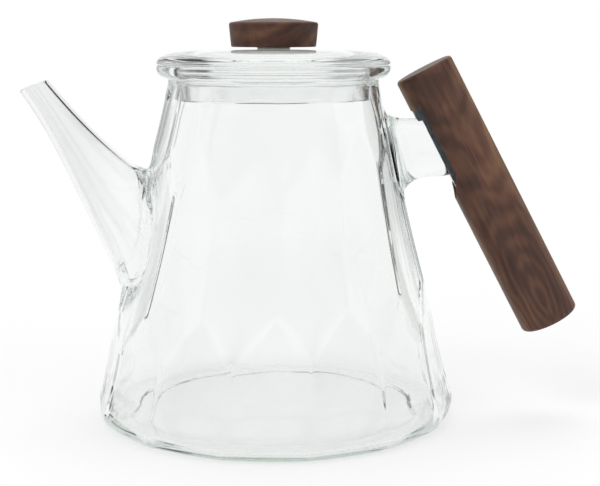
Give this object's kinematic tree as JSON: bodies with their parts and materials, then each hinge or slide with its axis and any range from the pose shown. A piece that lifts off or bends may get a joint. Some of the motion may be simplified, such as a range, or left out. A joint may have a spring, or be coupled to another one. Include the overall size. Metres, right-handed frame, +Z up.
{
  "type": "glass teapot",
  "caption": "Faceted clear glass teapot, a straight cone with a trumpet spout, a slanted walnut bar handle and a lift-off glass lid with a walnut knob.",
  "frame": {"origin": "centre of the foot on the pot's axis, on the surface that the pot stands on", "axes": "+Z up, +X towards the handle, -X towards the spout"},
  "size_m": [0.2061, 0.133, 0.1472],
  "materials": {
    "clear_glass": "clear, fire polished",
    "walnut": "oiled, fine sanded",
    "bond": "cured adhesive",
    "brass": "turned and knurled",
    "clear_bond": "pale cured adhesive"
  },
  "bodies": {
    "pot": {"body_shell": "clear_glass", "spout": "clear_glass", "handle_bracket": "clear_glass", "handle_grip": "walnut", "handle_bond": "bond"},
    "lid_lifter": {"knob_bond": "clear_bond"},
    "lid": {"lid_glass": "clear_glass", "lid_knob": "walnut", "knob_insert": "brass"}
  },
  "joints": [
    {"name": "lid_lift", "type": "slide", "parent": "pot", "child": "lid_lifter", "axis": [0, 0, 1], "range_m": [0, 0.06]},
    {"name": "lid_turn", "type": "hinge", "parent": "lid_lifter", "child": "lid", "pos_m": [0, 0, 0.13], "axis": [0, 0, 1], "continuous": true}
  ]
}
